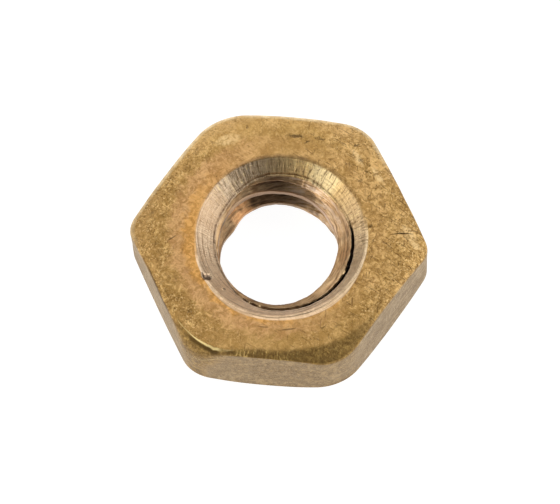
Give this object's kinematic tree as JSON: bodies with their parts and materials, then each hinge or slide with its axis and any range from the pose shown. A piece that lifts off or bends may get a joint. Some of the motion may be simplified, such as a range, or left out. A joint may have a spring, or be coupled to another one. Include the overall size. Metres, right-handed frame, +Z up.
{
  "type": "hex nut",
  "caption": "Thin hexagon nut in worn brass: right-hand threaded bore, countersunk mouth, crowned corner chamfers and wrench flats.",
  "frame": {"origin": "centre of the lower bearing face, on the thread axis", "axes": "+Z up the thread axis, out of the countersunk mouth; hexagon corners on +X and -X; flats face +Y and -Y"},
  "size_m": [0.008, 0.007, 0.0022],
  "materials": {
    "brass": "tarnished and worn, machined countersink"
  },
  "bodies": {
    "root": {"hex_nut": "brass"}
  },
  "joints": []
}
